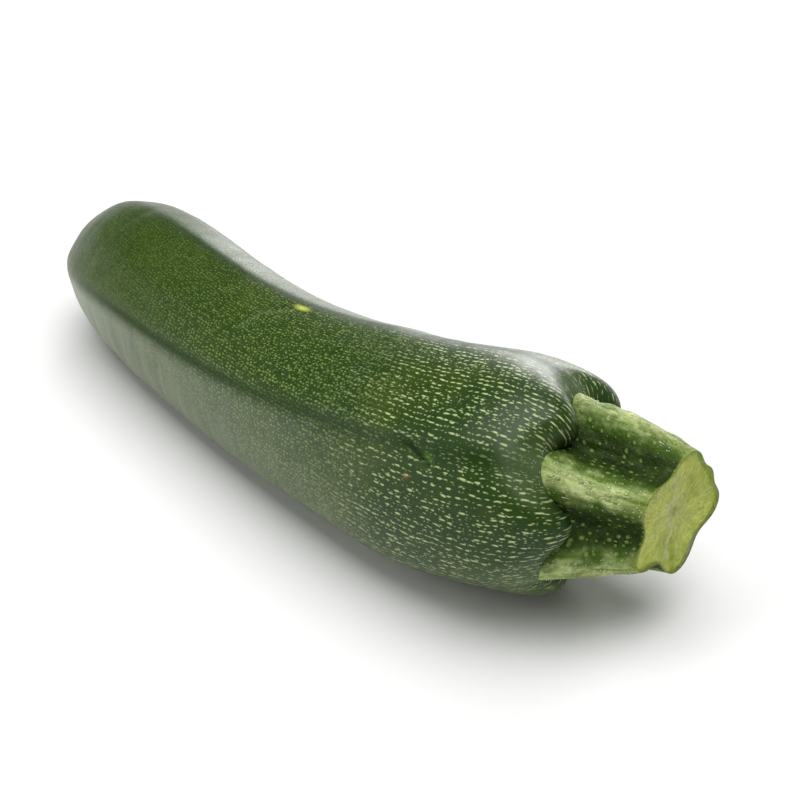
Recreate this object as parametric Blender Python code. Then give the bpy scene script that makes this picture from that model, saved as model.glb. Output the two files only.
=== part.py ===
"""A fresh courgette lying on its side, as picked: the ribbed fruit and the cut stalk."""
import bpy
import numpy as np

MM = 0.001

# The middle line of the fruit. Its heading is in degrees from +X, at even steps from the blossom end.
FRUIT_LENGTH = 172.0
HEADINGS = (-11.6, -8.7, -4.3, 1.8, 11.0, 20.0)
START_X = -94.91
START_Y = 4.04
LINE_STEP = 0.25

# How the middle line lies above the surface. The last part of the fruit and the stalk point upwards.
SINK = 0.5
LEVEL_FROM = 30.0
LEVEL_TO = 128.0
DROOP = 2.4
DROOP_REACH = 32.0
TILT_FROM = 118.0
TILT_BEND = 42.0
STALK_TILT = 8.0

# The side outline between two ribs, as (distance along, radius) from the blossom end to the stalk.
HOLLOW = ((4.8, 0.0), (4.8, 5.2), (7.4, 10.9), (14.0, 15.6), (25.0, 18.6), (40.0, 19.4), (60.0, 19.3),
          (80.0, 19.4), (100.0, 20.5), (118.0, 22.3), (135.0, 24.1), (149.0, 25.4), (161.0, 25.2),
          (169.5, 22.8), (173.0, 18.5), (173.0, 14.0), (170.0, 11.5))
STALK_HOLLOW = ((170.0, 11.5), (172.5, 10.2), (176.5, 9.4), (181.0, 8.8), (185.0, 9.0), (189.0, 9.6))
STALK_END = 188.3

# Six ridges of the stalk run out into ribs. Each row has the angle round the axis, the distance along
# and the radius where the ridge meets the fruit, its radius half way and at the cut, and its half
# width where it starts and at the cut.
RIDGES = ((47.0, 166.5, 20.0, 14.5, 12.6, 20.0, 20.0),
          (115.0, 165.0, 20.0, 17.8, 12.7, 20.0, 20.0),
          (167.0, 170.5, 15.0, 12.0, 10.8, 14.0, 15.0),
          (213.0, 167.0, 18.0, 14.0, 13.8, 20.0, 20.0),
          (275.0, 167.0, 18.0, 14.0, 14.9, 20.0, 21.0),
          (340.0, 167.5, 20.4, 16.8, 13.6, 20.0, 18.0))
RIDGE_POWER = 2.2

# On the fruit each ridge sinks to the stalk through these points, as (distance before it, radius).
RUN_IN = ((18.0, 25.4), (11.0, 25.4), (6.0, 24.4), (3.2, 22.8))
RUN_IN_LIP = 1.2

# On the stalk each ridge narrows from its flared foot to the cut.
STALK_FLARE = 4.5
STALK_WAIST = 176.0
STALK_NECK = 182.0
STALK_TIP = 189.0
STALK_TWIST = -8.0

# The shoulders between the ridges: angle, extra reach, extra radius and half width.
SHOULDERS = ((80.0, -1.5, 0.0, 24.0), (15.0, 1.6, 0.0, 24.0), (140.0, 0.6, 1.0, 22.0),
             (312.0, -3.0, -2.6, 28.0))
SHOULDER_FROM = 0.7
SHOULDER_RUN = 0.2
SWELL_FROM = 135.0
SWELL_RUN = 20.0
SWELL_INNER = 12.0
SWELL_RISE = 10.0

# Low ribs carry the large ridges on along the body, slowly turning, with one more on its far side.
# Each row has the angle at the stalk, the turn up to the blossom end, the height and the half width.
RIBS = ((47.0, -36.0, 1.2, 13.0),
        (115.0, -22.0, 0.9, 15.0),
        (150.0, -22.0, 1.1, 18.0),
        (213.0, -24.0, 0.8, 15.0),
        (277.0, -24.0, 0.8, 15.0),
        (340.0, -30.0, 0.8, 15.0))
RIB_MEAN = 0.074
RIB_FADE_FROM = 140.0
RIB_FADE = 25.0
RIB_BODY = 20.0

# The blossom scar is a shallow dimple in the far end.
SCAR_DEPTH = 0.8
SCAR_RADIUS = 3.0
SCAR_WITHIN = 20.0

# The slanting cut across the stalk.
CUT_TILT = 18.0
CUT_FACING = -14.0
CUT_BACK = 1.0

# The stalk's base stands this far off the fruit, along the middle line and inwards from the rim.
GAP_ALONG = 0.33
GAP_ROUND = 0.24

COLUMNS = 72
FRUIT_ROWS = 40
STALK_ROWS = 12
CAP_RINGS = (0.82, 0.6, 0.35, 0.14)

FRUIT_GREEN = (0.045, 0.098, 0.018, 1.0)
STALK_GREEN = (0.17, 0.26, 0.065, 1.0)


def smooth_curve(points, steps):
    """Uniform cubic B-spline that starts and ends on the first and the last point."""
    inner = np.asarray(points, float)
    ends = (2 * inner[:1] - inner[1:2], 2 * inner[-1:] - inner[-2:-1])
    control = np.vstack((ends[0], inner, ends[1]))
    place = np.asarray(steps)[:, None] * (len(inner) - 1) + 1
    away = np.abs(place - np.arange(len(control)))
    near = 2 / 3 - away ** 2 + away ** 3 / 2
    far = np.clip(2 - away, 0, None) ** 3 / 6
    return np.where(away < 1, near, far) @ control


def turn(angle):
    """Angle in degrees brought to between -180 and 180."""
    return (angle + 180) % 360 - 180


def bump(angle, centre, width):
    """One at the centre angle and falling away on both sides."""
    return np.exp(-(turn(angle - centre) / width) ** 2)


def ridge_share(angle, centre, width):
    """One on the ridge, a half at its half width, and a steep flank between."""
    return np.exp(np.log(0.5) * np.abs(turn(angle - centre) / width) ** RIDGE_POWER)


def body_height(along):
    """Height of the middle line over the surface at each distance along."""
    outline = smooth_curve(HOLLOW, np.linspace(0, 1, 400))
    body = outline[:np.argmax(outline[:, 0])]
    level = np.interp(np.clip(along, LEVEL_FROM, LEVEL_TO), body[:, 0], body[:, 1]) - SINK
    start = np.interp(TILT_FROM, body[:, 0], body[:, 1]) - SINK
    bend = np.clip((along - TILT_FROM) / TILT_BEND, 0, None)
    rise = np.where(bend < 1, bend ** 2 / 2, bend - 0.5) * TILT_BEND * np.tan(np.radians(STALK_TILT))
    droop = DROOP * np.clip(1 - along / DROOP_REACH, 0, 1) ** 2
    return np.where(along < TILT_FROM, level, start + rise) - droop


def place(along, radius, angle):
    """Points at a distance along the middle line, a radius from it and an angle round it."""
    line = np.arange(-5.0, FRUIT_LENGTH + 60.0, LINE_STEP)
    headings = np.asarray(HEADINGS)[:, None]
    heading = np.radians(smooth_curve(headings, np.clip(line / FRUIT_LENGTH, 0, 1)))[:, 0]
    line_x = np.cumsum(np.cos(heading)) * LINE_STEP
    line_y = np.cumsum(np.sin(heading)) * LINE_STEP
    line_x += START_X - np.interp(0, line, line_x)
    line_y += START_Y - np.interp(0, line, line_y)
    way = np.interp(along, line, heading)
    slope = np.clip((along - TILT_FROM) / TILT_BEND, 0, 1) * np.radians(STALK_TILT)
    side = radius * np.cos(np.radians(angle))
    up = radius * np.sin(np.radians(angle))
    x = np.interp(along, line, line_x) + side * np.sin(way) - up * np.sin(slope) * np.cos(way)
    y = np.interp(along, line, line_y) - side * np.cos(way) - up * np.sin(slope) * np.sin(way)
    z = body_height(along) + up * np.cos(slope)
    return np.stack((x, y, np.maximum(z, 0.0)), -1)


def shoulder(angle, column):
    """Extra reach or radius of the shoulders at each angle."""
    return sum(row[column] * bump(angle, row[0], row[3]) for row in SHOULDERS)


def fruit_skin(steps, angle):
    """Distance along and radius of the fruit's skin, from the blossom end to the stalk."""
    hollow = smooth_curve(HOLLOW, steps)
    low_along, low_radius = hollow[:, :1], hollow[:, 1:]
    reach = np.clip((steps[:, None] - SHOULDER_FROM) / SHOULDER_RUN, 0, 1)
    along = low_along + shoulder(angle, 1) * reach
    swell = np.clip((low_along - SWELL_FROM) / SWELL_RUN, 0, 1)
    swell = swell * np.clip((low_radius - SWELL_INNER) / SWELL_RISE, 0, 1)
    radius = low_radius + shoulder(angle, 2) * swell
    for centre, meet, meet_radius, _, _, width, _ in RIDGES:
        crest = list(HOLLOW[:-len(RUN_IN) - 2])
        crest += [(meet - before, high) for before, high in RUN_IN]
        crest += [(meet - RUN_IN_LIP, meet_radius + RUN_IN_LIP), (meet, meet_radius)]
        ridge = smooth_curve(crest, steps)
        share = ridge_share(angle, centre, width)
        along = along + share * (ridge[:, :1] - low_along)
        radius = radius + share * (ridge[:, 1:] - low_radius)
    fade = np.clip(low_radius / RIB_BODY, 0, 1) * (1 - np.clip((low_along - RIB_FADE_FROM) / RIB_FADE, 0, 1))
    twist = 1 - low_along / FRUIT_LENGTH
    ribs = sum(high * (bump(angle, centre + by * twist, wide) - RIB_MEAN) for centre, by, high, wide in RIBS)
    radius = radius + fade * ribs
    along = along + SCAR_DEPTH * np.exp(-(radius / SCAR_RADIUS) ** 2) * (low_along < SCAR_WITHIN)
    return along, np.where(low_radius > 0, radius, 0.0)


def stalk_skin(steps, angle):
    """Distance along and radius of the stalk's skin, from the fruit to the cut."""
    hollow = smooth_curve(STALK_HOLLOW, steps)
    low_along, low_radius = hollow[:, :1], hollow[:, 1:]
    step = steps[:, None]
    along = low_along + shoulder(angle, 1) * (1 - step) ** 3
    radius = low_radius + 0 * angle
    for centre, meet, meet_radius, middle, end, width, end_width in RIDGES:
        crest = [(meet, meet_radius), (meet + STALK_FLARE, (meet_radius + middle) / 2)]
        crest += [(STALK_WAIST, 0.9 * middle + 0.1 * meet_radius), (STALK_NECK, 0.62 * middle + 0.38 * end)]
        crest += [(STALK_TIP, end)]
        ridge = smooth_curve(crest, steps)
        share = ridge_share(angle, centre, width) * (1 - step) + ridge_share(angle, centre, end_width) * step
        along = along + share * (ridge[:, :1] - low_along)
        radius = radius + share * (ridge[:, 1:] - low_radius)
    turned = angle + STALK_TWIST * step
    along = along + (cut_plane(radius, turned) - STALK_END) * step ** 1.5
    return along, radius, turned


def cut_plane(radius, angle):
    """Distance along of the slanting cut at each radius and angle."""
    lean = np.tan(np.radians(CUT_TILT)) * radius * np.cos(np.radians(angle - CUT_FACING))
    return STALK_END - CUT_BACK - lean


def closed_body(name, rings, first, last, colour, roughness):
    """Closed mesh from rings of points, with one point closing each end."""
    count = rings.shape[1]
    points = np.vstack((first[None], rings.reshape(-1, 3), last[None])) * MM
    ring = 1 + np.arange(count)
    after = 1 + (np.arange(count) + 1) % count
    faces = [(0, int(b), int(a)) for a, b in zip(after, ring)]
    for row in range(len(rings) - 1):
        low, high = row * count, (row + 1) * count
        faces += [(int(a + low), int(a + high), int(b + high), int(b + low)) for a, b in zip(ring, after)]
    top = (len(rings) - 1) * count
    end = len(points) - 1
    faces += [(int(b + top), int(a + top), end) for a, b in zip(ring, after)]
    mesh = bpy.data.meshes.new(name)
    mesh.from_pydata(points.tolist(), [], faces)
    mesh.polygons.foreach_set("use_smooth", [True] * len(mesh.polygons))
    material = bpy.data.materials.new(name + "_skin")
    material.use_nodes = True
    shader = material.node_tree.nodes["Principled BSDF"]
    shader.inputs["Base Color"].default_value = colour
    shader.inputs["Roughness"].default_value = roughness
    shader.inputs["Metallic"].default_value = 0.0
    mesh.materials.append(material)
    body = bpy.data.objects.new(name, mesh)
    bpy.context.scene.collection.objects.link(body)
    return body


def socket_rings(angle):
    """The dished face in which the fruit and the stalk meet, from its rim inwards, and its centre."""
    along, radius = fruit_skin(np.array([0.0, 1.0]), angle)
    rim_along, rim_radius = along[1:], radius[1:]
    centre = rim_along.mean()
    inner = np.array(CAP_RINGS)[:, None]
    return centre + (rim_along - centre) * inner ** 2, rim_radius * inner, centre


def build_fruit(angle):
    steps = np.linspace(0, 1, FRUIT_ROWS)
    along, radius = fruit_skin(steps, angle)
    cap_along, cap_radius, centre = socket_rings(angle)
    rings = place(np.vstack((along[1:], cap_along)), np.vstack((radius[1:], cap_radius)), angle)
    ends = place(np.array([along[0, 0], centre]), np.zeros(2), np.zeros(2))
    return closed_body("fruit", rings, ends[0], ends[1], FRUIT_GREEN, 0.32)


def build_stalk(angle):
    steps = np.linspace(0, 1, STALK_ROWS)
    along, radius, turned = stalk_skin(steps, angle)
    start = (1 - steps[:, None]) ** 4
    along = along + GAP_ALONG * start
    radius = radius - GAP_ROUND * start
    base_along, base_radius, centre = socket_rings(angle)
    shrink = radius[0] / (radius[0] + GAP_ROUND)
    base = (base_along[::-1] + GAP_ALONG, base_radius[::-1] * shrink, angle + 0 * base_along)
    inner = np.array(CAP_RINGS)[:, None] * radius[-1]
    cut = (cut_plane(inner, turned[-1]), inner, turned[-1] + 0 * inner)
    rings = place(*(np.vstack(parts) for parts in zip(base, (along, radius, turned), cut)))
    ends = place(np.array([centre + GAP_ALONG, STALK_END - CUT_BACK]), np.zeros(2), np.zeros(2))
    return closed_body("stem", rings, ends[0], ends[1], STALK_GREEN, 0.5)


def main():
    for item in list(bpy.data.objects):
        bpy.data.objects.remove(item, do_unlink=True)
    angle = np.arange(COLUMNS)[None] * 360.0 / COLUMNS
    build_fruit(angle)
    build_stalk(angle)


main()
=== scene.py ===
import bpy
import numpy as np
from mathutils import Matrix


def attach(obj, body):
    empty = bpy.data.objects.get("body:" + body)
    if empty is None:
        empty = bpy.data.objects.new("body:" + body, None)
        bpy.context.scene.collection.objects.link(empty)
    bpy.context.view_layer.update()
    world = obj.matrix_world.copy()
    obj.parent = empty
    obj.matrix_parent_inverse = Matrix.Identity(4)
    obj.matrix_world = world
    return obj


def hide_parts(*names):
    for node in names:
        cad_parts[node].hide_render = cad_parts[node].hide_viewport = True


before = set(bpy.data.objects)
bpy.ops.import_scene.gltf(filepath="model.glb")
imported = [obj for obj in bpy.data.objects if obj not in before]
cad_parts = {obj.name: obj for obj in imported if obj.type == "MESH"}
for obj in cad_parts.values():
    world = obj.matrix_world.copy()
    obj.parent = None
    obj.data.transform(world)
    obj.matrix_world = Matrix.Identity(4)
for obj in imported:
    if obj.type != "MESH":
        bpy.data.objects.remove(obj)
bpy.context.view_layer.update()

# The fruit: one closed skin, grown from the blossom end to the shoulders round the stalk. Six
# low ridges run out of the stalk and turn slowly round the body as ribs. The skin is waxy, dark
# green, and flecked with pale dots that become lengthwise dashes towards the stalk.

MM = 0.001
FRUIT_LENGTH = 172.0
HEADINGS = (-11.6, -8.7, -4.3, 1.8, 11.0, 20.0)
START = (-94.91, 4.04)
SINK = 0.5
HOLLOW = ((4.8, 0.0), (4.8, 5.2), (7.4, 10.9), (14.0, 15.6), (25.0, 18.6), (40.0, 19.4), (60.0, 19.3),
          (80.0, 19.4), (100.0, 20.5), (118.0, 22.3), (135.0, 24.1), (149.0, 25.4), (161.0, 25.2),
          (169.5, 22.8), (173.0, 18.5), (173.0, 14.0), (170.0, 11.5))
# angle, distance and radius at the fruit, radius half way and at the cut, half widths at both ends
RIDGES = ((47.0, 166.5, 20.0, 14.5, 12.6, 20.0, 20.0),
          (115.0, 165.0, 20.0, 17.8, 12.7, 20.0, 20.0),
          (167.0, 170.5, 15.0, 12.0, 10.8, 14.0, 15.0),
          (213.0, 167.0, 18.0, 14.0, 13.8, 20.0, 20.0),
          (275.0, 167.0, 18.0, 14.0, 14.9, 20.0, 21.0),
          (340.0, 167.5, 20.4, 16.8, 13.6, 20.0, 18.0))
SHOULDERS = ((80.0, -1.5, 0.0, 24.0), (15.0, 1.6, 0.0, 24.0), (140.0, 0.6, 1.0, 22.0),
             (312.0, -3.0, -2.6, 28.0))
# angle at the stalk, turn towards the blossom end, height and half width of each rib
RIBS = ((47.0, -36.0, 1.2, 13.0), (115.0, -22.0, 0.9, 15.0), (150.0, -22.0, 1.1, 18.0), (213.0, -24.0, 0.8, 15.0),
        (277.0, -24.0, 0.8, 15.0), (340.0, -30.0, 0.8, 15.0))


def smooth_curve(points, steps):
    """Uniform cubic B-spline through the first and the last point, from 0 to 1 in steps."""
    inner = np.asarray(points, float)
    control = np.vstack((2 * inner[:1] - inner[1:2], inner, 2 * inner[-1:] - inner[-2:-1]))
    away = np.abs(np.asarray(steps)[:, None] * (len(inner) - 1) + 1 - np.arange(len(control)))
    near = 2 / 3 - away ** 2 + away ** 3 / 2
    far = np.clip(2 - away, 0, None) ** 3 / 6
    return np.where(away < 1, near, far) @ control


def turn(angle):
    """Angle in degrees brought to between -180 and 180."""
    return (angle + 180) % 360 - 180


def bump(angle, centre, width):
    """exp(-(difference / width) squared): one at the centre angle, falling away on both sides."""
    return np.exp(-(turn(angle - centre) / width) ** 2)


def share_of(angle, centre, width):
    """One at the centre angle, a half at one width to each side, with a steep shoulder between."""
    return np.exp(np.log(0.5) * np.abs(turn(angle - centre) / width) ** 2.2)


def place(along, radius, angle):
    """Points round a bent middle line: distance along it, radius from it and angle about it.
    The line lies a radius less the sink over the surface, droops at the blossom end, and bends
    upwards by a parabola and then a straight rise towards the stalk. Nothing goes below zero."""
    line = np.arange(-5.0, FRUIT_LENGTH + 60.0, 0.25)
    headings = np.asarray(HEADINGS)[:, None]
    heading = np.radians(smooth_curve(headings, np.clip(line / FRUIT_LENGTH, 0, 1)))[:, 0]
    line_x = np.cumsum(np.cos(heading)) * 0.25
    line_y = np.cumsum(np.sin(heading)) * 0.25
    line_x += START[0] - np.interp(0, line, line_x)
    line_y += START[1] - np.interp(0, line, line_y)
    outline = smooth_curve(HOLLOW, np.linspace(0, 1, 400))
    body = outline[:np.argmax(outline[:, 0])]
    level = np.interp(np.clip(along, 30.0, 128.0), body[:, 0], body[:, 1]) - SINK
    start = np.interp(118.0, body[:, 0], body[:, 1]) - SINK
    bend = np.clip((along - 118.0) / 42.0, 0, None)
    rise = np.where(bend < 1, bend ** 2 / 2, bend - 0.5) * 42.0 * np.tan(np.radians(8.0))
    height = np.where(along < 118.0, level, start + rise) - 2.4 * np.clip(1 - along / 32.0, 0, 1) ** 2
    way = np.interp(along, line, heading)
    slope = np.clip(bend, 0, 1) * np.radians(8.0)
    side = radius * np.cos(np.radians(angle))
    up = radius * np.sin(np.radians(angle))
    x = np.interp(along, line, line_x) + side * np.sin(way) - up * np.sin(slope) * np.cos(way)
    y = np.interp(along, line, line_y) - side * np.cos(way) - up * np.sin(slope) * np.sin(way)
    return np.stack((x, y, np.maximum(height + up * np.cos(slope), 0.0)), -1)


def shoulder(angle, column):
    """Extra reach or radius of the shoulders at each angle, a sum of bumps."""
    return sum(row[column] * bump(angle, row[0], row[3]) for row in SHOULDERS)


def ribs(along, angle):
    """Height of the ribs: bumps whose centres turn with the distance, less the mean."""
    twist = 1 - along / FRUIT_LENGTH
    return sum(high * (bump(angle, centre + by * twist, wide) - 0.074)
               for centre, by, high, wide in RIBS)


def fruit_skin(steps, angle):
    """Distance along and radius: the outline of the hollows blended with that of each ridge by
    the ridge's share of the angle, with the ribs added along the body and a dimple at the scar."""
    hollow = smooth_curve(HOLLOW, steps)
    low_along, low_radius = hollow[:, :1], hollow[:, 1:]
    along = low_along + shoulder(angle, 1) * np.clip((steps[:, None] - 0.7) / 0.2, 0, 1)
    swell = np.clip((low_along - 135) / 20, 0, 1) * np.clip((low_radius - 12) / 10, 0, 1)
    radius = low_radius + shoulder(angle, 2) * swell
    for centre, meet, meet_radius, _, _, width, _ in RIDGES:
        crest = list(HOLLOW[:-6])
        crest += [(meet - 18.0, 25.4), (meet - 11.0, 25.4), (meet - 6.0, 24.4), (meet - 3.2, 22.8)]
        crest += [(meet - 1.2, meet_radius + 1.2), (meet, meet_radius)]
        ridge = smooth_curve(crest, steps)
        share = share_of(angle, centre, width)
        along = along + share * (ridge[:, :1] - low_along)
        radius = radius + share * (ridge[:, 1:] - low_radius)
    fade = np.clip(low_radius / 20, 0, 1) * (1 - np.clip((low_along - 140) / 25, 0, 1))
    radius = radius + fade * ribs(low_along, angle)
    along = along + 0.8 * np.exp(-(radius / 3.0) ** 2) * (low_along < 20)
    return along, np.where(low_radius > 0, radius, 0.0)


def segment_distance(along, across, start, end):
    """Distance of each point of the unrolled skin from a straight stroke, and the share along it."""
    way = np.subtract(end, start)
    share = np.clip(((along - start[0]) * way[0] + (across - start[1]) * way[1]) / (way @ way), 0, 1)
    return np.hypot(along - start[0] - share * way[0], across - start[1] - share * way[1]), share


def skin_mesh(name, rings, first, last, unrolled, marks):
    """A closed mesh from rings of points and a point at each end, with a UV map of the skin
    unrolled in metres and one number per vertex for each mark."""
    rows, count = rings.shape[:2]
    points = np.vstack((first[None], rings.reshape(-1, 3), last[None])) * MM
    low = 1 + np.arange(rows - 1)[:, None] * count + np.arange(count)
    next_low = np.roll(low, -1, axis=1)
    walls = np.stack((low, low + count, next_low + count, next_low), -1).reshape(-1, 4)
    ring = 1 + np.arange(count)
    top = ring + (rows - 1) * count
    start_cap = np.stack((0 * ring, ring, np.roll(ring, -1)), -1)
    end_cap = np.stack((np.roll(top, -1), top, 0 * top + len(points) - 1), -1)
    corners = np.concatenate((walls.ravel(), start_cap.ravel(), end_cap.ravel()))
    sizes = np.concatenate((np.full(len(walls), 4), np.full(2 * count, 3)))
    mesh = bpy.data.meshes.new(name)
    mesh.vertices.add(len(points))
    mesh.vertices.foreach_set("co", points.ravel())
    mesh.loops.add(len(corners))
    mesh.loops.foreach_set("vertex_index", corners)
    mesh.polygons.add(len(sizes))
    mesh.polygons.foreach_set("loop_start", np.concatenate(([0], np.cumsum(sizes)[:-1])))
    mesh.polygons.foreach_set("loop_total", sizes)
    mesh.polygons.foreach_set("use_smooth", np.ones(len(sizes), bool))
    mesh.update(calc_edges=True)
    flat = unrolled.reshape(-1, 2)
    ends = (flat[:count].mean(0, keepdims=True), flat[-count:].mean(0, keepdims=True))
    sheet = np.vstack((ends[0], flat, ends[1]))[corners] * MM
    owner = np.repeat(np.arange(len(sizes)), sizes)
    highest = np.maximum.reduceat(sheet[:, 1], np.concatenate(([0], np.cumsum(sizes)[:-1])))
    wrap = unrolled[0, :, 1].max() * MM
    sheet[:, 1] += np.where((highest[owner] - sheet[:, 1]) > wrap / 2, wrap + wrap / (count - 1), 0)
    mesh.uv_layers.new(name="unrolled").data.foreach_set("uv", sheet.ravel())
    for mark, values in marks.items():
        inner = values.reshape(rows, count)
        whole = np.concatenate((inner[:1].mean(1), inner.ravel(), inner[-1:].mean(1)))
        mesh.attributes.new(mark, "FLOAT", "POINT").data.foreach_set("value", whole)
    piece = bpy.data.objects.new(name, mesh)
    bpy.context.scene.collection.objects.link(piece)
    return piece


def add(tree, kind, inputs=(), output=0, **settings):
    """A shader node with its settings; inputs go by number or name to a value or another output."""
    made = tree.nodes.new("ShaderNode" + kind)
    for name, value in settings.items():
        setattr(made, name, value)
    for slot, value in dict(inputs).items():
        if isinstance(value, bpy.types.NodeSocket):
            tree.links.new(value, made.inputs[slot])
        else:
            made.inputs[slot].default_value = value
    return made.outputs[output]


def calc(tree, operation, *values):
    """Math node on outputs or numbers."""
    return add(tree, "Math", dict(enumerate(values)), operation=operation)


def between(tree, value, low, high, out_low=0.0, out_high=1.0):
    """Smooth step from out_low to out_high as the value goes from low to high."""
    return add(tree, "MapRange", {0: value, 1: low, 2: high, 3: out_low, 4: out_high},
               interpolation_type="SMOOTHSTEP")


def tint(tree, share, one, other):
    """Colour one turning into the other by the share."""
    pair = [colour if isinstance(colour, bpy.types.NodeSocket) else (*colour, 1.0) for colour in (one, other)]
    return add(tree, "Mix", {0: share, 6: pair[0], 7: pair[1]}, output=2, data_type="RGBA")


def stretched(tree, coordinates, scale, offset=(0.0, 0.0, 0.0)):
    """Coordinates multiplied by a scale in each direction and moved by an offset."""
    return add(tree, "Mapping", {"Vector": coordinates, "Scale": scale, "Location": offset})


def noise(tree, coordinates, detail=2.0, rough=0.5, scale=1.0):
    """Soft noise between 0 and 1 at the coordinates' own scale."""
    return add(tree, "TexNoise", {"Vector": coordinates, "Scale": scale, "Detail": detail, "Roughness": rough})


def flecks(tree, coordinates, scattered, full, threshold, offset=(0.0, 0.0, 0.0)):
    """Pale spots: one round each cell point of a Voronoi pattern, its size set by the cell's own
    random number, so that some cells stay empty. Returns a mask from 0 to 1."""
    inputs = {"Vector": coordinates, "Scale": 1.0, "Randomness": scattered}
    cell = add(tree, "TexVoronoi", inputs, voronoi_dimensions=full)
    number = add(tree, "SeparateColor", {0: cell.node.outputs["Color"]})
    size = add(tree, "MapRange", {0: number, 1: threshold, 2: 1.0, 3: 0.0, 4: 0.42})
    inner = calc(tree, "MULTIPLY", size, 0.45)
    return add(tree, "MapRange", {0: cell, 1: size, 2: inner, 3: 0.0, 4: 1.0}, interpolation_type="SMOOTHSTEP")


def dashes(tree, coordinates, rows, cells, long, wide, threshold):
    """Pale dashes in lengthwise rows: the distance from one to the next comes from a Voronoi
    pattern along each row, shifted by the row's number, and a dash is the oval round its cell
    point, the square root of (distance / long) squared plus (distance off the row / wide) squared."""
    parts = add(tree, "SeparateXYZ", {0: coordinates}).node.outputs
    row_place = calc(tree, "MULTIPLY", parts[1], rows)
    row = calc(tree, "FLOOR", row_place)
    along_row = calc(tree, "MULTIPLY_ADD", parts[0], cells, calc(tree, "MULTIPLY", row, 7.31))
    cell = add(tree, "TexVoronoi", {"W": along_row, "Scale": 1.0, "Randomness": 0.9}, voronoi_dimensions="1D")
    number = add(tree, "SeparateColor", {0: cell.node.outputs["Color"]}).node.outputs
    off_row = calc(tree, "SUBTRACT", calc(tree, "SUBTRACT", row_place, row),
                   between(tree, number[1], 0.0, 1.0, 0.36, 0.64))
    oval = calc(tree, "SQRT", calc(tree, "ADD", calc(tree, "POWER", calc(tree, "DIVIDE", cell, long), 2.0),
                                   calc(tree, "POWER", calc(tree, "ABSOLUTE", calc(tree, "DIVIDE", off_row, wide)), 2.0)))
    size = add(tree, "MapRange", {0: number[0], 1: threshold, 2: 1.0, 3: 0.0, 4: 1.15})
    return between(tree, calc(tree, "SUBTRACT", size, oval), -0.2, 0.55)


skin_angle = (270.0 + np.arange(250) * 360.0 / 250)[None]
skin_steps = np.linspace(0, 1, 372)
along, radius = fruit_skin(skin_steps, skin_angle)
rim_along, rim_radius = along[-1:], radius[-1:]
socket_middle = rim_along.mean()
inwards = np.array((0.82, 0.6, 0.35, 0.14))[:, None]

# an old nick in the rib that faces the camera: a groove with a lifted lip on its upper side
across = turn(skin_angle) * 25.0 * np.pi / 180 + 0 * along
nick_distance, nick_share = segment_distance(along, across, (138.6, 19.4), (147.0, 15.4))
tear_distance, _ = segment_distance(along, across, (146.2, 16.8), (147.0, 16.1))
groove = np.exp(-(nick_distance / 0.55) ** 2) * np.clip(nick_share * 2.2, 0.25, 1)
lip = np.exp(-((nick_distance - 1.3) / 0.6) ** 2) * np.clip(nick_share * 2.0, 0.2, 1)
tear = np.exp(-(tear_distance / 0.55) ** 2)
faint = (np.sin(along * 0.31 + 4 * np.sin(np.radians(skin_angle))) * np.sin(np.radians(3 * skin_angle) + along * 0.07)
         + 0.6 * np.sin(along * 0.83 + 1.7) * np.sin(np.radians(7 * skin_angle) + along * 0.21))
radius = radius + np.where(radius > 8, 0.04 * faint - 0.7 * groove - 0.35 * tear + 0.12 * lip, 0.0)

arc_distance = np.minimum(segment_distance(along, across, (86.0, 27.0), (86.6, 34.0))[0],
                          segment_distance(along, across, (86.6, 34.0), (92.0, 40.0))[0])
blemish = np.hypot((along - 93.2) / 2.1, (across - 42.3) / 1.0)
speck = np.hypot(along - 142.8, across - 11.8)
# crease: painted shade along the lines of the taller ribs, wider towards the stalk; the skin is darkened there and its
# flecks and shine turned down
crease = sum(bump(skin_angle, centre + by * (1 - along / FRUIT_LENGTH), 3.0 + along / 90) * (high > 0.85)
             for centre, by, high, wide in RIBS) * np.clip((along - 20) / 30, 0, 1)
# A pale band on the side below the front rib, fading towards the stalk and at the blossom end: partly the skin's waxy
# bloom and partly painted reflection of the white table
below = 45.0 - 36.0 * (1 - along / FRUIT_LENGTH) - turn(skin_angle)
bloom_and_reflection = np.clip(below / 9, 0, 1) * np.clip((85 - below) / 40, 0, 1) * np.clip(1.1 - along / 125, 0, 1)
bloom_and_reflection = bloom_and_reflection * np.clip((along - 6) / 22, 0, 1)
ridge_share = sum(share_of(skin_angle, row[0], 0.8 * row[5]) for row in RIDGES)
# recess: painted shade on the shoulders where they curl in round the stalk between the ridges; the skin is darkened
# there, its flecks and shine turned down and its roughness raised
recess = np.clip((skin_steps[:, None] - 0.86) / 0.08, 0, 1) * np.clip(1.15 - ridge_share, 0, 1) + 0 * along
ridge_foot = sum(share_of(skin_angle, row[0], 11.0) for row in RIDGES) * np.clip((along - 158) / 8, 0, 1)

cap_along = socket_middle + (rim_along - socket_middle) * inwards ** 2
rings = place(np.vstack((along[1:], cap_along)), np.vstack((radius[1:], rim_radius * inwards)), skin_angle)
ends = place(np.array([along[0, 0], socket_middle]), np.zeros(2), np.zeros(2))
unrolled = np.stack((along[1:], 0 * along[1:] + (skin_angle - 270.0) * np.pi / 180 * 22.0), -1)
unrolled = np.vstack((unrolled, np.repeat(unrolled[-1:], 4, 0)))


def with_cap(values):
    """Drops the pole's row and repeats the rim's over the hidden cap."""
    return np.vstack((values[1:], np.repeat(values[-1:], 4, 0)))


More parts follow.
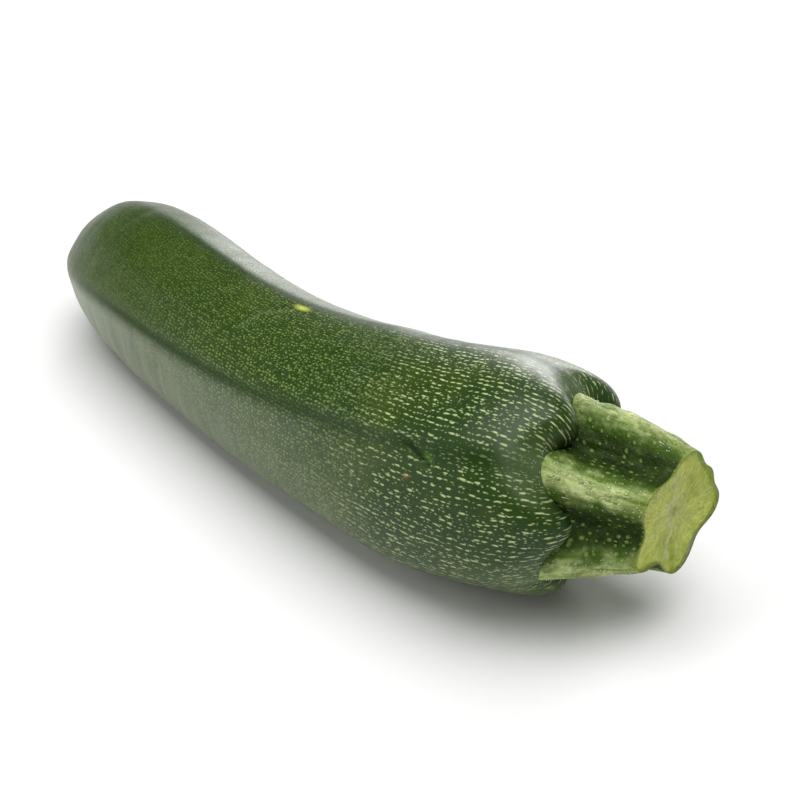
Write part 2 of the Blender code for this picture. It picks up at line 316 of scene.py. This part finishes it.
fruit = skin_mesh("courgette_skin", rings, ends[0], ends[1], unrolled, {
    "nick": with_cap(np.clip(groove, 0, 1)), "torn": with_cap(np.clip(tear + 0.2 * lip * nick_share, 0, 1)),
    "scratch": with_cap(np.exp(-(arc_distance / 0.45) ** 2)), "blemish": with_cap(np.clip(1.4 - blemish, 0, 1)),
    "speck": with_cap(np.exp(-(speck / 0.33) ** 2)), "crease": with_cap(np.clip(crease, 0, 1)),
    "recess": with_cap(recess), "bloom_and_reflection": with_cap(bloom_and_reflection), "foot": with_cap(np.clip(ridge_foot, 0, 1))})

skin = bpy.data.materials.new("courgette_skin_wax")
skin.use_nodes = True
tree = skin.node_tree
shader = tree.nodes["Principled BSDF"]
sheet = add(tree, "UVMap", uv_map="unrolled")
body_place = add(tree, "TexCoord", output=3)
far_to_near = add(tree, "SeparateXYZ", {0: sheet})


def mark(name):
    """The mesh's own number for a mark."""
    return add(tree, "Attribute", output=2, attribute_name=name)


wobble = noise(tree, stretched(tree, body_place, (230, 230, 230)), 1.0)
shift = add(tree, "TexNoise", {"Vector": stretched(tree, body_place, (300, 300, 300), (3, 1, 2)), "Scale": 1.0})
wobbled = add(tree, "VectorMath", {0: sheet, 1: add(tree, "CombineXYZ", {
    0: calc(tree, "MULTIPLY", calc(tree, "SUBTRACT", shift, 0.5), 0.0014),
    1: calc(tree, "MULTIPLY", calc(tree, "SUBTRACT", wobble, 0.5), 0.0009)})}, operation="ADD")
band = noise(tree, stretched(tree, sheet, (10, 330, 1)), 2.0)
patch = noise(tree, stretched(tree, body_place, (45, 45, 45)), 4.0, 0.6)
fine = noise(tree, stretched(tree, body_place, (900, 900, 900)), 3.0, 0.6)
few = between(tree, band, 0.35, 0.65, 0.08, -0.4)

long_dash = dashes(tree, wobbled, 900.0, 640.0, 0.46, 0.17, few)
thin_dash = dashes(tree, stretched(tree, wobbled, (1, 1, 1), (0.0007, 0.0005, 0)), 1000.0, 1050.0, 0.34, 0.16, few)
short_dash = dashes(tree, wobbled, 1250.0, 900.0, 0.36, 0.28, few)
dot = flecks(tree, stretched(tree, wobbled, (1150, 1700, 1), (0.2, 0.6, 0)), 1.0, "2D", calc(tree, "ADD", few, 0.3))

to_dashes = between(tree, far_to_near, 0.108, 0.140)
to_dots = between(tree, far_to_near, 0.035, 0.105)
near_flecks = calc(tree, "MAXIMUM", long_dash, calc(tree, "MULTIPLY", thin_dash, 0.6))
mid_flecks = calc(tree, "MAXIMUM", calc(tree, "MULTIPLY", short_dash, 0.75), calc(tree, "MULTIPLY", dot, 0.6))
far_flecks = calc(tree, "MAXIMUM", calc(tree, "MULTIPLY", short_dash, 0.2), calc(tree, "MULTIPLY", dot, 0.3))
spread = add(tree, "Mix", {0: to_dots, 2: far_flecks, 3: mid_flecks}, data_type="FLOAT")
spread = add(tree, "Mix", {0: to_dashes, 2: spread, 3: near_flecks}, data_type="FLOAT")
quiet = calc(tree, "SUBTRACT", 1.0, calc(tree, "MULTIPLY", mark("crease"), 0.8))
quiet = calc(tree, "MULTIPLY", quiet, calc(tree, "SUBTRACT", 1.0, calc(tree, "MULTIPLY", mark("recess"), 0.7)))
quiet = calc(tree, "MULTIPLY", quiet, calc(tree, "SUBTRACT", 1.0, calc(tree, "MULTIPLY", mark("nick"), 0.9)))
spread = calc(tree, "MULTIPLY", spread, quiet)

green = tint(tree, between(tree, far_to_near, 0.05, 0.15), (0.027, 0.060, 0.004), (0.017, 0.050, 0.006))
green = tint(tree, between(tree, patch, 0.4, 0.68, 0.0, 0.85), green, (0.045, 0.078, 0.007))
green = tint(tree, between(tree, fine, 0.3, 0.75, 0.0, 0.5), green, (0.012, 0.027, 0.002))
# painted shade along the creases
green = tint(tree, calc(tree, "MULTIPLY", mark("crease"), 0.7), green, (0.010, 0.030, 0.003))
# painted shade in the recess round the stalk
green = tint(tree, calc(tree, "MULTIPLY", mark("recess"), 0.9), green, (0.004, 0.012, 0.002))
fleck_colour = tint(tree, to_dashes, (0.21, 0.30, 0.07), (0.42, 0.50, 0.22))
green = tint(tree, spread, green, fleck_colour)
green = tint(tree, calc(tree, "MULTIPLY", mark("foot"), 0.45), green, (0.12, 0.18, 0.07))
# painted shade in the nick's groove: the skin there is darkened almost to black, with its flecks and shine turned down
green = tint(tree, calc(tree, "MULTIPLY", mark("nick"), 0.95), green, (0.005, 0.018, 0.001))
green = tint(tree, calc(tree, "MULTIPLY", mark("torn"), 0.4), green, (0.13, 0.28, 0.02))
green = tint(tree, calc(tree, "MULTIPLY", mark("scratch"), 0.16), green, (0.33, 0.42, 0.27))
# streaky pale tint over that band: partly waxy bloom, partly painted reflection of the table
wax_and_reflection_streaks = noise(tree, stretched(tree, sheet, (330, 45, 1)), 3.0, 0.6)
wax_and_reflection_streaks = calc(tree, "MULTIPLY", between(tree, wax_and_reflection_streaks, 0.25, 0.7, 0.25, 0.6), mark("bloom_and_reflection"))
green = tint(tree, wax_and_reflection_streaks, green, (0.29, 0.33, 0.22))
green = tint(tree, mark("blemish"), green, (0.52, 0.56, 0.08))
green = tint(tree, calc(tree, "MULTIPLY", mark("speck"), 0.9), green, (0.6, 0.22, 0.09))
tree.links.new(green, shader.inputs["Base Color"])

streak = noise(tree, stretched(tree, sheet, (420, 60, 1)), 2.0)
rough = add(tree, "MapRange", {0: streak, 1: 0.3, 2: 0.7, 3: 0.32, 4: 0.42})
rough = calc(tree, "MULTIPLY_ADD", mark("recess"), 0.35, rough)
tree.links.new(rough, shader.inputs["Roughness"])
shader.inputs["IOR"].default_value = 1.4
shine = between(tree, far_to_near, 0.09, 0.15, 0.5, 0.32)
shine = calc(tree, "MULTIPLY", shine, calc(tree, "SUBTRACT", 1.0, calc(tree, "MULTIPLY", mark("crease"), 0.7)))
shine = calc(tree, "MULTIPLY", shine, calc(tree, "SUBTRACT", 1.0, calc(tree, "MULTIPLY", mark("recess"), 0.85)))
shine = calc(tree, "MULTIPLY", shine, calc(tree, "SUBTRACT", 1.0, calc(tree, "MULTIPLY", mark("nick"), 0.8)))
tree.links.new(shine, shader.inputs["Specular IOR Level"])
shader.inputs["Coat Weight"].default_value = 0.12
shader.inputs["Coat Roughness"].default_value = 0.28
grain = calc(tree, "ADD", calc(tree, "MULTIPLY", spread, 0.5),
             calc(tree, "MULTIPLY", noise(tree, stretched(tree, sheet, (300, 1400, 1)), 2.0), 0.7))
grain = calc(tree, "ADD", grain, calc(tree, "MULTIPLY", fine, 0.35))
relief = add(tree, "Bump", {"Strength": 0.5, "Distance": 0.00012, "Height": grain})
tree.links.new(relief, shader.inputs["Normal"])
fruit.data.materials.append(skin)
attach(fruit, "root")
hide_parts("fruit")

# The stalk: a hard green stem with six ridges, grown on to the fruit and cut off at a slant with a
# knife. Its hollows are dark and spotted and its ridges pale, partly its own colour and partly painted
# shade in the hollows and painted light on the ridges. The cut is moist and yellow-green.

STALK_HOLLOW = ((170.0, 11.5), (172.5, 10.2), (176.5, 9.4), (181.0, 8.8), (185.0, 9.0), (189.0, 9.6))
STALK_END = 188.3
GAP = 0.05


def cut_plane(radius, angle):
    """Distance along of the slanting cut: the end less 1 mm, less tan(18) times the radius turned
    to the side at -14 degrees."""
    return STALK_END - 1.0 - np.tan(np.radians(18.0)) * radius * np.cos(np.radians(angle + 14.0))


def stalk_skin(steps, angle):
    """Distance along, radius and turned angle: the outline of the hollows blended with that of
    each ridge, squeezed towards the end so that the last row lies in the cut."""
    hollow = smooth_curve(STALK_HOLLOW, steps)
    low_along, low_radius = hollow[:, :1], hollow[:, 1:]
    step = steps[:, None]
    along = low_along + shoulder(angle, 1) * (1 - step) ** 3
    radius = low_radius + 0 * angle
    for centre, meet, meet_radius, middle, end, width, end_width in RIDGES:
        crest = [(meet, meet_radius), (meet + 4.5, (meet_radius + middle) / 2)]
        crest += [(176.0, 0.9 * middle + 0.1 * meet_radius), (182.0, 0.62 * middle + 0.38 * end)]
        crest += [(189.0, end)]
        ridge = smooth_curve(crest, steps)
        share = share_of(angle, centre, width) * (1 - step) + share_of(angle, centre, end_width) * step
        along = along + share * (ridge[:, :1] - low_along)
        radius = radius + share * (ridge[:, 1:] - low_radius)
    turned = angle - 8.0 * step
    return along + (cut_plane(radius, turned) - STALK_END) * step ** 1.5, radius, turned


stalk_angle = (270.0 + np.arange(360) * 1.0)[None]
stalk_steps = np.linspace(0, 1, 110)
step = stalk_steps[:, None]
along, radius, turned = stalk_skin(stalk_steps, stalk_angle)
crest_share = sum(share_of(stalk_angle, row[0], 11.0) * (row[0] != 167.0) for row in RIDGES) + 0 * along
ripple = (np.sin(np.radians(23 * stalk_angle) + along * 0.35) + 0.7 * np.sin(np.radians(41 * stalk_angle) - along * 0.22)
          + 0.5 * np.sin(np.radians(14 * stalk_angle) + along * 0.9))
fresh = np.clip(step * 6, 0, 1) * np.clip((1 - step) * 8, 0, 1)
radius = radius + 0.14 * ripple * fresh + 0.10 * np.sin(along * 1.3 + np.radians(5 * stalk_angle)) * fresh * crest_share
start = (1 - step) ** 4
along = along + GAP * 1.1 * start
radius = radius - GAP * 0.8 * start

base_along, base_radius = fruit_skin(np.array([0.0, 1.0]), stalk_angle)
base_middle = base_along[1:].mean()
base = (base_middle + (base_along[1:] - base_middle) * inwards[::-1] ** 2 + GAP * 1.1,
        base_radius[1:] * inwards[::-1] * radius[0] / (radius[0] + GAP * 0.8), stalk_angle + 0 * inwards)

# the cut: a flat oval with a rounded rim, faint rays towards the rim and a low streak across it
share_in = np.concatenate((np.linspace(0.985, 0.1, 40), [0.04]))[:, None]
cut_radius = radius[-1:] * share_in
rays = np.sin(np.radians(37 * stalk_angle) + 5 * share_in) * np.clip(share_in * 1.6 - 0.5, 0, 1)
cut_relief = 0.03 * rays + 0.12 * np.sin(cut_radius * 1.1 + np.radians(2 * stalk_angle)) - 0.25 * (1 - share_in ** 2)
cut_relief = cut_relief + 0.12 * np.exp(-((share_in - 0.93) / 0.04) ** 2)
cut_along = cut_plane(cut_radius, turned[-1:]) + cut_relief
rings = place(*(np.vstack(parts) for parts in zip(base, (along, radius, turned), (cut_along, cut_radius, turned[-1:] + 0 * cut_radius))))
ends = place(np.array([base_middle + GAP * 1.1, STALK_END - 1.25]), np.zeros(2), np.zeros(2))
around = (stalk_angle - 270.0) * np.pi / 180 * 12.0
unrolled = np.stack((np.vstack((base[0], along, 200 + 12 * (1 - share_in) + 0 * cut_radius)), around + 0 * rings[..., 0]), -1)
on_cut = np.vstack((0 * base[0], np.clip((step - 0.975) / 0.02, 0, 1) + 0 * along, 1 + 0 * cut_radius))
crest_mark = np.vstack((0 * base[0], crest_share, 0 * cut_radius))
near_cut = np.vstack((0 * base[0], step ** 3 * (0.25 + 0.75 * np.clip(crest_share, 0, 1)), 1 + 0 * cut_radius))
heart = np.vstack((1 + 0 * base[0], 1 + 0 * along, share_in + 0 * cut_radius))
side_way = cut_radius * np.cos(np.radians(turned[-1:] - 8.0))
streak = np.vstack((0 * base[0], 0 * along, np.exp(-((side_way - 1.0 - 0.5 * np.sin(cut_radius)) / 0.9) ** 2) * (share_in < 0.8)))
stalk = skin_mesh("stalk_skin", rings, ends[0], ends[1], unrolled, {
    "cut": on_cut, "crest": np.clip(crest_mark, 0, 1), "near_cut": near_cut, "heart": heart, "streak": streak})

bark = bpy.data.materials.new("stalk_green")
bark.use_nodes = True
tree = bark.node_tree
shader = tree.nodes["Principled BSDF"]
sheet = add(tree, "UVMap", uv_map="unrolled")
body_place = add(tree, "TexCoord", output=3)
blotch = noise(tree, stretched(tree, body_place, (260, 260, 260)), 4.0, 0.6)
fine = noise(tree, stretched(tree, body_place, (1100, 1100, 1100)), 3.0, 0.6)
fibre = noise(tree, stretched(tree, sheet, (160, 900, 1)), 3.0, 0.6)
spots = flecks(tree, stretched(tree, sheet, (600, 950, 1)), 1.0, "2D", 0.0)
crest_rise = between(tree, calc(tree, "ADD", mark("crest"), between(tree, blotch, 0.25, 0.75, -0.4, 0.3)), 0.1, 1.0)
# The colours below darken the hollows and lighten the ridge tops: partly the stalk's own colour, partly painted shade
# in the hollows and painted light on the ridges
green = tint(tree, between(tree, blotch, 0.35, 0.65), (0.008, 0.022, 0.001), (0.020, 0.046, 0.002))
green = tint(tree, between(tree, mark("crest"), 0.02, 0.3), green, (0.045, 0.095, 0.006))
green = tint(tree, calc(tree, "MULTIPLY", spots, 0.7), green, (0.21, 0.31, 0.07))
green = tint(tree, crest_rise, green, tint(tree, between(tree, fibre, 0.25, 0.75), (0.12, 0.20, 0.018), (0.58, 0.66, 0.30)))
green = tint(tree, between(tree, mark("near_cut"), 0.3, 1.0, 0.0, 0.7), green, (0.17, 0.24, 0.035))
ray = noise(tree, stretched(tree, sheet, (90, 700, 1)), 3.0, 0.65)
flesh = tint(tree, between(tree, noise(tree, stretched(tree, body_place, (220, 220, 90)), 3.0), 0.3, 0.7),
             (0.36, 0.43, 0.045), (0.54, 0.60, 0.11))
flesh = tint(tree, between(tree, ray, 0.4, 0.75, 0.0, 0.45), flesh, (0.70, 0.74, 0.27))
flesh = tint(tree, between(tree, mark("heart"), 0.5, 0.05, 0.0, 0.6), flesh, (0.70, 0.74, 0.27))
flesh = tint(tree, between(tree, mark("streak"), 0.2, 1.0, 0.0, 0.4), flesh, (0.62, 0.66, 0.38))
flesh = tint(tree, between(tree, mark("heart"), 0.93, 0.99, 0.0, 0.6), flesh, (0.15, 0.23, 0.03))
green = tint(tree, mark("cut"), green, flesh)
green = tint(tree, between(tree, fine, 0.35, 0.75, 0.0, 0.3), green, (0.07, 0.11, 0.012))
tree.links.new(green, shader.inputs["Base Color"])
rough = add(tree, "MapRange", {0: mark("cut"), 1: 0.0, 2: 1.0, 3: 0.55, 4: 0.36})
tree.links.new(rough, shader.inputs["Roughness"])
shader.inputs["Specular IOR Level"].default_value = 0.15
shader.inputs["Subsurface Weight"].default_value = 0.1
shader.inputs["Subsurface Radius"].default_value = (0.002, 0.004, 0.001)
shader.inputs["Subsurface Scale"].default_value = 1.0
grain = calc(tree, "ADD", calc(tree, "MULTIPLY", fibre, 0.8), calc(tree, "MULTIPLY", fine, 0.6))
grain = calc(tree, "ADD", grain, calc(tree, "MULTIPLY", spots, 0.5))
relief = add(tree, "Bump", {"Strength": 0.9, "Distance": 0.0008, "Height": grain})
tree.links.new(relief, shader.inputs["Normal"])
stalk.data.materials.append(bark)
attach(stalk, "root")
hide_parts("stem")

# The hairs: short stiff white bristles that stand out of the ridges of the stalk and of the fruit's
# skin round its foot. Each one is a thin three-sided spike.

HAIR_LENGTH = (0.8, 2.2)
HAIR_THICK = 0.08
rng = np.random.default_rng(5)


def bristles(name, roots, outwards, leaning):
    """Spikes as closed three-sided pyramids: each base is a triangle round its root, sunk a little
    into the skin, and its tip stands out along the surface's normal and leans along the fruit."""
    count = len(roots)
    way = outwards + 0.5 * leaning + 0.35 * rng.normal(size=(count, 3))
    way /= np.linalg.norm(way, axis=1, keepdims=True)
    long = rng.uniform(*HAIR_LENGTH, (count, 1))
    side = np.cross(way, leaning + 0.01)
    side /= np.linalg.norm(side, axis=1, keepdims=True)
    other = np.cross(way, side)
    turns = np.radians((0.0, 120.0, 240.0))
    foot = [roots - 0.1 * way + HAIR_THICK * (np.cos(t) * side + np.sin(t) * other) for t in turns]
    points = np.stack((*foot, roots + long * way), 1).reshape(-1, 3) * MM
    first = 4 * np.arange(count)[:, None]
    faces = (first[:, :, None] + np.array(((0, 2, 1), (0, 1, 3), (1, 2, 3), (2, 0, 3)))).reshape(-1, 3)
    mesh = bpy.data.meshes.new(name)
    mesh.from_pydata(points.tolist(), [], faces.tolist())
    piece = bpy.data.objects.new(name, mesh)
    bpy.context.scene.collection.objects.link(piece)
    return piece


def surface_points(steps, angle, skin_of):
    """Points of a skin with its outward normal and its lengthwise direction, from small steps."""
    def at(some_steps, some_angle):
        parts = skin_of(some_steps, some_angle)
        values = [np.take_along_axis(part + 0 * some_angle, order, 1)[:, 0] for part in parts]
        return place(values[0], values[1], values[2] if len(values) > 2 else angle[:, 0] + turn(some_angle - angle)[:, 0])
    order = np.zeros((len(steps), 1), int)
    here = at(steps, angle)
    ahead = at(np.clip(steps + 0.004, 0, 1), angle) - here
    around = at(steps, angle + 0.5) - here
    normal = np.cross(ahead, around)
    normal /= np.linalg.norm(normal, axis=1, keepdims=True) + 1e-9
    return here, -normal, ahead / (np.linalg.norm(ahead, axis=1, keepdims=True) + 1e-9)


ridge_centres = np.array([row[0] for row in RIDGES])
many = 620
hair_angle = (rng.choice(ridge_centres, many) + rng.normal(0, 9, many))[:, None]
hair_steps = rng.uniform(0.03, 0.97, many)
spots_at, outwards, leaning = surface_points(hair_steps, hair_angle, stalk_skin)
foot_angle = (rng.choice(ridge_centres, 160) + rng.normal(0, 12, 160))[:, None]
foot_steps = rng.uniform(0.82, 0.995, 160)
foot_at, foot_out, foot_lean = surface_points(foot_steps, foot_angle, fruit_skin)
hairs = bristles("stalk_hairs", np.vstack((spots_at, foot_at)), np.vstack((outwards, foot_out)), np.vstack((leaning, foot_lean)))
down = bpy.data.materials.new("hair_white")
down.use_nodes = True
tree = down.node_tree
shader = tree.nodes["Principled BSDF"]
shade = noise(tree, stretched(tree, add(tree, "TexCoord", output=3), (300, 300, 300)), 2.0)
tree.links.new(tint(tree, shade, (0.66, 0.72, 0.52), (0.92, 0.93, 0.85)), shader.inputs["Base Color"])
shader.inputs["Roughness"].default_value = 0.45
hairs.data.materials.append(down)
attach(hairs, "root")

# The place where it lies: a plain white table top, broad soft lights overhead and behind, and a
# camera that looks down on the courgette at 35 degrees, past the stalk towards the blossom end.

half = 6.0
table = bpy.data.meshes.new("table_top")
table.from_pydata([(-half, -half, 0), (half, -half, 0), (half, half, 0), (-half, half, 0)], [], [(0, 1, 2, 3)])
floor = bpy.data.objects.new("table_top", table)
bpy.context.scene.collection.objects.link(floor)
paper = bpy.data.materials.new("table_white")
paper.use_nodes = True
tree = paper.node_tree
tooth = noise(tree, stretched(tree, add(tree, "TexCoord", output=3), (900, 900, 900)), 2.0)
tree.links.new(tint(tree, tooth, (0.86, 0.86, 0.855), (0.88, 0.88, 0.875)), tree.nodes["Principled BSDF"].inputs["Base Color"])
tree.nodes["Principled BSDF"].inputs["Roughness"].default_value = 0.8
floor.data.materials.append(paper)

world = bpy.data.worlds.new("studio")
world.use_nodes = True
tree = world.node_tree
direction = add(tree, "TexCoord", output=0)
up = add(tree, "SeparateXYZ", {0: direction}, output=2)
sky = add(tree, "MapRange", {0: up, 1: 0.03, 2: 0.36, 3: 1.1, 4: 0.02}, interpolation_type="SMOOTHSTEP")
tree.nodes["Background"].inputs["Color"].default_value = (1.0, 1.0, 1.0, 1.0)
tree.links.new(sky, tree.nodes["Background"].inputs["Strength"])
bpy.context.scene.world = world


def soft_light(name, at, aim, size, power):
    """Square area light at a point, turned towards the aim."""
    lamp = bpy.data.lights.new(name, "AREA")
    lamp.energy = power
    lamp.size = size
    lit = bpy.data.objects.new(name, lamp)
    lit.location = at
    lit.visible_camera = False
    away = np.subtract(at, aim)
    away = away / np.linalg.norm(away)
    lit.rotation_euler = (np.arccos(away[2]), 0.0, np.arctan2(away[1], away[0]) + np.pi / 2)
    bpy.context.scene.collection.objects.link(lit)
    return lit


soft_light("key_light", (0.08, 0.0, 0.9), (0.02, 0.0, 0.0), 0.95, 11.0)
soft_light("fill_light", (-0.5, -0.75, 0.5), (0.0, 0.0, 0.0), 0.6, 2.8)
soft_light("back_light", (-0.46, 0.83, 0.2), (-0.05, 0.0, 0.02), 0.45, 4.6)

lens = bpy.data.cameras.new("camera")
lens.sensor_width = 36.0
lens.lens = 36.0 * 1600.0 / 793.0
eye = bpy.data.objects.new("camera", lens)
eye.location = (0.2279, -0.19104, 0.2237)
eye.rotation_euler = (np.radians(55.0), 0.0, np.radians(47.0))
bpy.context.scene.collection.objects.link(eye)
bpy.context.scene.camera = eye
bpy.context.scene.view_settings.view_transform = "Standard"
